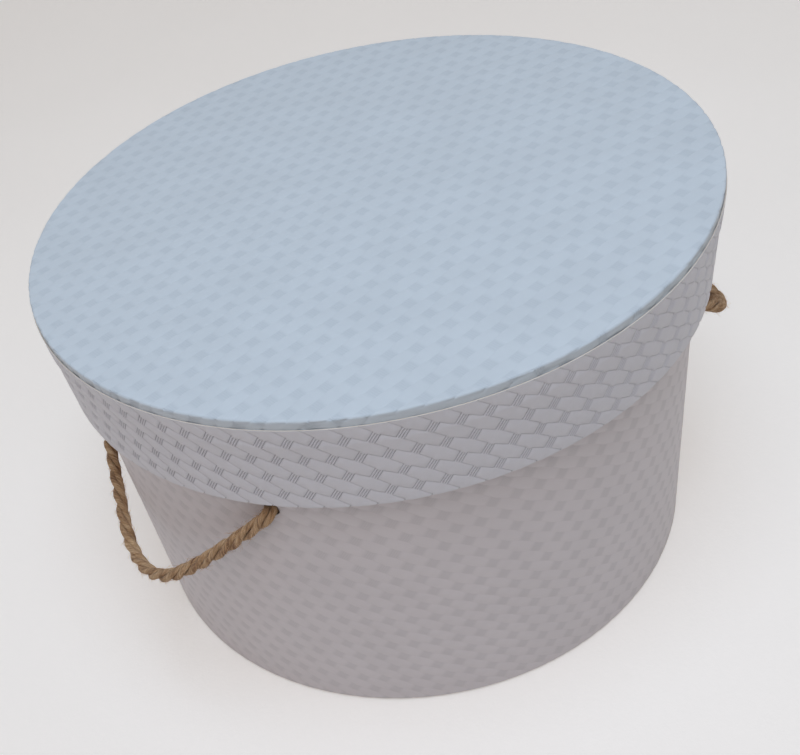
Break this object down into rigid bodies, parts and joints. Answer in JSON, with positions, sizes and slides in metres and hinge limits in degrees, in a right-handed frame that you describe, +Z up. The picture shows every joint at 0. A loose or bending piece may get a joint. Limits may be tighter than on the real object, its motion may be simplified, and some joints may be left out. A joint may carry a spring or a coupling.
{
  "type": "lidded box",
  "caption": "Round board box covered with basket-weave embossed paper, with a deep lift-off lid and swinging rope handles on its sides.",
  "frame": {"origin": "centre of the underside, on the surface the box stands on", "axes": "+Z up along the box's axis; the left rope handle faces -X, the right one +X, and -Y is the front"},
  "size_m": [0.3204, 0.2998, 0.187],
  "materials": {
    "embossed_paper": "white, embossed, soft satin",
    "underside_paper": "white, smooth, matt",
    "lining_paper": "off-white, smooth, matt",
    "grey_board": "matt",
    "jute_rope": "three-strand natural jute, hairy"
  },
  "bodies": {
    "base": {"base_wall_board": "grey_board", "base_floor_board": "grey_board", "base_side_paper": "embossed_paper", "base_underside_paper": "underside_paper", "base_wall_lining": "lining_paper", "base_floor_lining": "lining_paper", "left_front_knot": "jute_rope", "left_back_knot": "jute_rope", "right_front_knot": "jute_rope", "right_back_knot": "jute_rope"},
    "lid": {"lid_wall_board": "grey_board", "lid_top_board": "grey_board", "lid_top_paper": "embossed_paper", "lid_side_paper": "embossed_paper", "lid_wall_lining": "lining_paper", "lid_top_lining": "lining_paper"},
    "left_handle": {"left_handle_rope": "jute_rope"},
    "right_handle": {"right_handle_rope": "jute_rope"}
  },
  "joints": [
    {"name": "lid_lift", "type": "slide", "parent": "base", "child": "lid", "axis": [0, 0, 1], "range_m": [0, 0.11]},
    {"name": "left_handle_swing", "type": "hinge", "parent": "base", "child": "left_handle", "pos_m": [-0.10271, 0, 0.1325], "axis": [0, 1, 0], "range_deg": [0, 60]},
    {"name": "right_handle_swing", "type": "hinge", "parent": "base", "child": "right_handle", "pos_m": [0.10271, 0, 0.1325], "axis": [0, -1, 0], "range_deg": [0, 60]}
  ]
}
